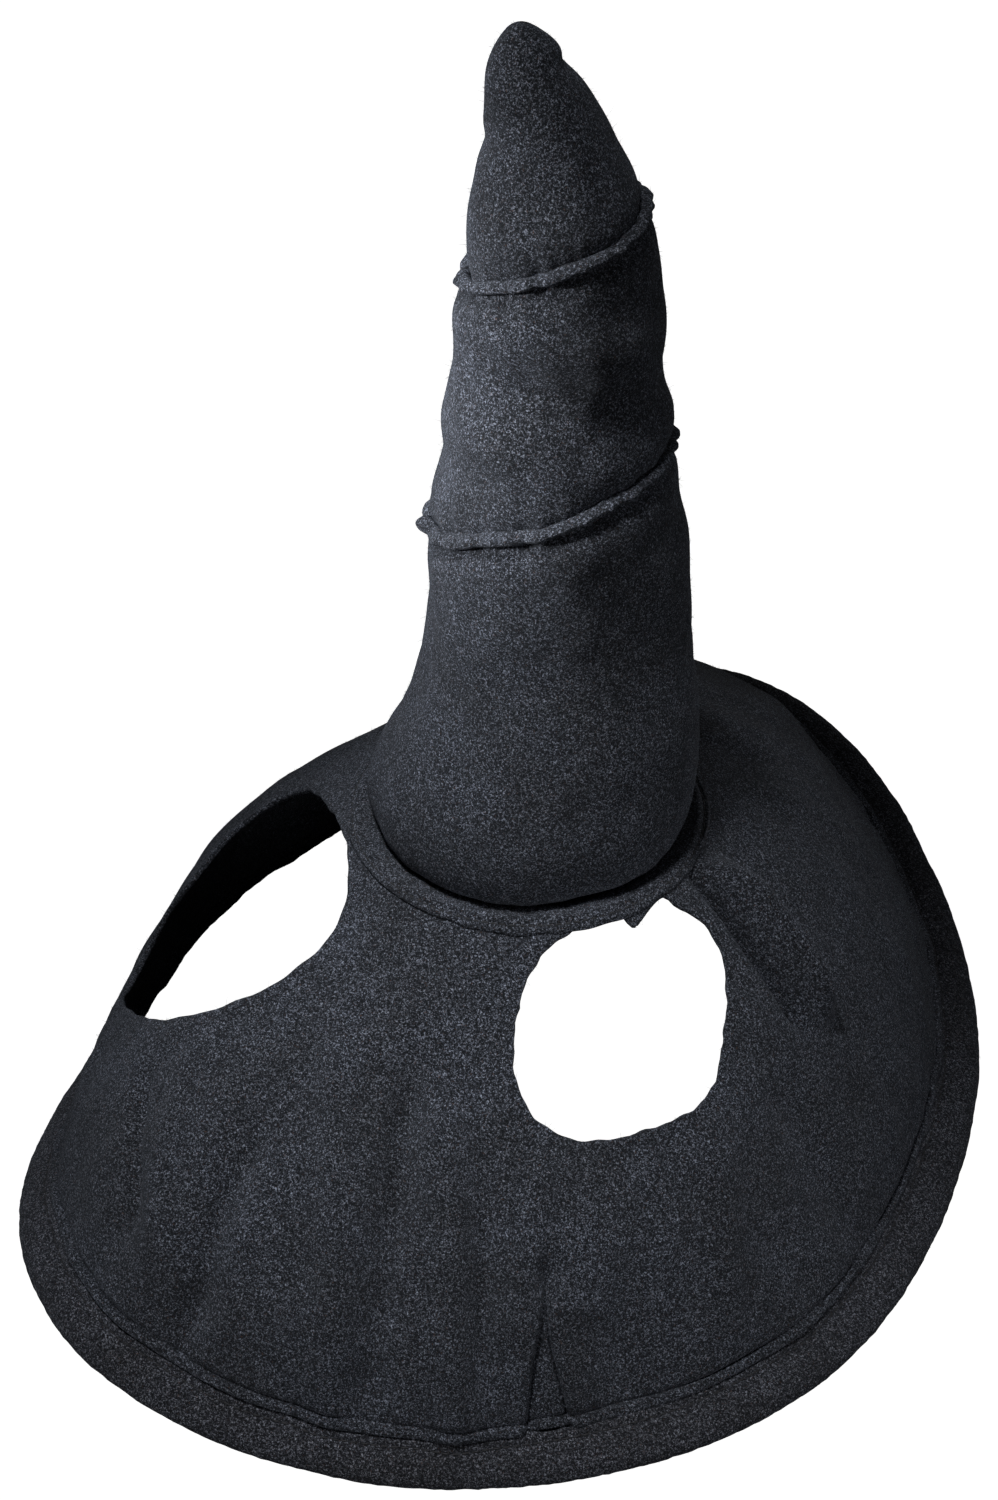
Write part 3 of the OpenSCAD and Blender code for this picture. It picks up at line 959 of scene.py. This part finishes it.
fill_ends = {
    "lower": (base_low[::3] + 5, height_on(LOWER_TUCK, FILL_PHI, -22)),
    "middle": (height_on(LOWER_TUCK, FILL_PHI, 5), height_on(UPPER_TUCK, FILL_PHI, -19)),
    "tip": (height_on(UPPER_TUCK, FILL_PHI, 4), np.full(len(FILL_PHI), 346.0)),
}
for word, count, body in (("lower", 32, BASE), ("middle", 24, MIDDLE), ("tip", 24, TOP)):
    fibre_fill(f"fibre_fill_{word}", *fill_ends[word], count, f"stuffing_{word}", body)


# ---- the two pinched ridges, whose ends lap at the side where the tuck was started ----
RIDGE_RINGS = 300
RIDGE_SIDES = 18
RIDGE_LAP = 1.008
RIDGE_RISE = 1.5
RIDGE_STARTS = {"lower": 207, "upper": 214}


def ridge(word, tuck, tall, wide, tail, seed):
    """A lumpy roll of felt round the crown. tall and wide are half its size, tail lifts its two ends."""
    n = tuck_axis(tuck)
    share = np.linspace(0, 1, RIDGE_RINGS)
    phi = math.radians(RIDGE_STARTS[word]) + share * 2 * math.pi * RIDGE_LAP
    z = height_on(tuck, phi)
    foot = crown_point(phi, z)
    out = crown_bare(phi, z)[1]
    out = out - (out @ n)[:, None] * n
    out /= np.linalg.norm(out, axis=-1, keepdims=True)
    ends = np.exp(-share * 62) + 0.4 * np.exp(-(1 - share) * 70)
    lumps = 1 + 0.1 * waver(foot, 14, seed) + 0.07 * waver(foot, 5, seed + 1)
    lumps = lumps * (1 + 0.1 * bell(turned(np.degrees(phi) - 32) * 0.9, 7))
    rise = RIDGE_RISE + tail * ends
    centre = foot + out * rise[:, None] + n * (0.5 * waver(foot, 18, seed + 2) + 1.6 * ends)[:, None]
    turn = np.arange(RIDGE_SIDES) * 2 * math.pi / RIDGE_SIDES
    taper = smooth(share, -0.002, 0.006) * (1 - smooth(share, 0.992, 1.002)) * 0.75 + 0.25
    h = (tall * lumps * taper)[:, None] * (np.cos(turn) * (1 + 0.12 * np.cos(turn)))[None, :]
    w = (wide * lumps * taper)[:, None] * (np.sin(turn) * (1 - 0.28 * np.cos(turn)))[None, :]
    points = centre[:, None, :] + h[..., None] * out[:, None, :] + w[..., None] * n
    points = points.reshape(-1, 3)
    points = points + 0.14 * wavers(points, 2.2, (seed + 3, seed + 4, seed + 5))
    sides = [f[::-1] for f in grid(RIDGE_RINGS, RIDGE_SIDES)]
    end_faces = [f[::-1] for f in caps(RIDGE_RINGS, RIDGE_SIDES)]
    piece = new_piece(f"{word}_tuck_ridge", points, sides + end_faces, CROWN_FELT)
    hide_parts(f"{word}_tuck")
    return piece, points, sides, foot[:-4], out[:-4]


ridges = {
    "lower": ridge("lower", LOWER_TUCK, 3.5, 2.9, 3.2, 61),
    "upper": ridge("upper", UPPER_TUCK, 3.3, 2.6, 2.8, 71),
}
for word, tuck, section in (("lower", LOWER_TUCK, "lower"), ("upper", UPPER_TUCK, "middle")):
    ridge_piece, _, _, foot, out = ridges[word]
    n = tuck_axis(tuck)
    path = foot - n * 2.9 + out * 0.5
    row = stitch_row(f"{word}_tuck_stitches", path, out - n * 0.7, 4.6, 3.2, 0.38, THREAD, 81)
    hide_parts(f"{word}_tuck_thread")
    bends_with(ridge_piece)
    bends_with(row)

# ---- stray fibres of the felt ----
FUZZ_R = 0.08
FUZZ_LONG = 3.8
FUZZ_MEDIUM = 3.4
FUZZ_SHORT = 3.2

spots, ways = scatter(sheet_points, sheet_faces[:len(sheet_triangles)], 5200, 91)
edge_spots, edge_ways = scatter(sheet_points, sheet_rim, 900, 92)
spots, ways = np.vstack([spots, edge_spots]), np.vstack([ways, edge_ways])
brim_fuzz = fuzz_from("brim_fuzz", spots, ways, FUZZ_LONG, FUZZ_R, BRIM_FELT, 93)
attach(brim_fuzz, BASE)
spots, ways = scatter(hem_points, hem_faces, 3600, 94)
hem_fuzz = fuzz_from("hem_fuzz", spots, ways, FUZZ_MEDIUM, FUZZ_R, HEM_FELT, 95)
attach(hem_fuzz, BASE)
for word, count in (("lower", 3400), ("middle", 1500), ("tip", 900)):
    _, points, faces = sections[word]
    spots, ways = scatter(points, faces, count, 96)
    fuzz = fuzz_from(f"crown_{word}_fuzz", spots, ways, FUZZ_LONG, FUZZ_R, CROWN_FELT, 97)
    if word == "tip":
        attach(fuzz, TOP)
    else:
        bends_with(fuzz)
for word, section in (("lower", "lower"), ("upper", "middle")):
    _, points, faces, _, _ = ridges[word]
    spots, ways = scatter(points, faces, 500, 98)
    fuzz = fuzz_from(f"{word}_tuck_fuzz", spots, ways, FUZZ_SHORT, FUZZ_R, CROWN_FELT, 99)
    bends_with(fuzz)

# ---- floor and light ----
rim_low = min(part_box("rim_binding")[0][2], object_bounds()[0][2])


FLOOR_R = 3.5
SWEEP_R = 2.0
WALL_HEIGHT = 5.0
FLOOR_SIDES = 64
FLOOR_GLOW = 1.08


def pale_stage(z):
    """A pale floor, very slightly uneven in tone, that sweeps up all round into a backdrop. In metres."""
    material, tree, skin_node = shader("pale_floor")
    place = tree.nodes.new("ShaderNodeTexCoord").outputs["Object"]
    tone = noise(tree, place, 3, 2, 0.5)
    pale = ramp(tree, tone, [(0.3, grey(0.66)), (0.7, grey(0.7))])
    tree.links.new(pale, skin_node.inputs["Base Color"])
    skin_node.inputs["Roughness"].default_value = 0.9
    skin_node.inputs["Emission Color"].default_value = (1, 1, 1, 1)
    skin_node.inputs["Emission Strength"].default_value = FLOOR_GLOW
    material.cycles.emission_sampling = "NONE"
    turn = np.linspace(0, math.pi / 2, 10)
    wall_r, wall_z = FLOOR_R + SWEEP_R, z + WALL_HEIGHT
    outline = [(FLOOR_R * share, z) for share in (0.2, 0.6)]
    outline += [(FLOOR_R + SWEEP_R * math.sin(f), z + SWEEP_R * (1 - math.cos(f))) for f in turn]
    outline += [(wall_r * math.cos(f), wall_z + SWEEP_R * math.sin(f)) for f in turn[:-1]]
    around = np.arange(FLOOR_SIDES) * 2 * math.pi / FLOOR_SIDES
    points = [(r * math.cos(f), r * math.sin(f), h) for r, h in outline for f in around]
    last = (len(outline) - 1) * FLOOR_SIDES
    faces = grid(len(outline), FLOOR_SIDES)
    faces += [tuple(range(FLOOR_SIDES)), tuple(last + k for k in range(FLOOR_SIDES))]
    piece = new_piece("floor", np.array(points) * 1000, faces, material)
    # the backdrop is only seen; the lamps alone light the hat
    piece.visible_diffuse = False
    piece.visible_glossy = False


pale_stage(rim_low)


def soft_spot(name, turn, height, away, aim, cone, softness, power):
    """A soft lamp on a stand: its turn from the hat's front, height angle and distance, in metres, to its
    aim, the cone's angle, the lamp's radius and its power in watts."""
    data = bpy.data.lights.new(name, "SPOT")
    data.energy = power
    data.spot_size = math.radians(cone)
    data.spot_blend = 1
    data.shadow_soft_size = softness
    lamp = bpy.data.objects.new(name, data)
    level = away * math.cos(math.radians(height))
    offset = Vector((
        level * math.sin(math.radians(turn)),
        -level * math.cos(math.radians(turn)),
        away * math.sin(math.radians(height)),
    ))
    lamp.location = Vector(aim) + offset
    lamp.rotation_euler = (-offset).to_track_quat("-Z", "Y").to_euler()
    scene.collection.objects.link(lamp)


# The two keys draw the lit streak on the crown and the brim's front; the fills lift the edges
soft_spot("side_key", -42, 17, 0.9, (0, 0, 0.212), 21, 0.1, 53)
soft_spot("high_key", -32, 81, 1.4, (0.01, -0.12, 0), 20, 0.11, 63)
soft_spot("rim_fill", 88, 2, 0.9, (0.21, -0.05, -0.13), 34, 0.2, 12)
soft_spot("crown_fill", 62, 4, 0.9, (0, 0, 0.22), 32, 0.25, 5.0)
soft_spot("hem_fill", -4, 10, 0.9, (0, -0.22, -0.18), 25, 0.2, 10)
soft_spot("back_fill", 190, 0, 1.2, (0, 0.05, 0.02), 40, 0.3, 6)
world = bpy.data.worlds.new("studio")
world.use_nodes = True
world.node_tree.nodes["Background"].inputs["Color"].default_value = (1, 1, 1, 1)
world.node_tree.nodes["Background"].inputs["Strength"].default_value = 0.007
scene.world = world
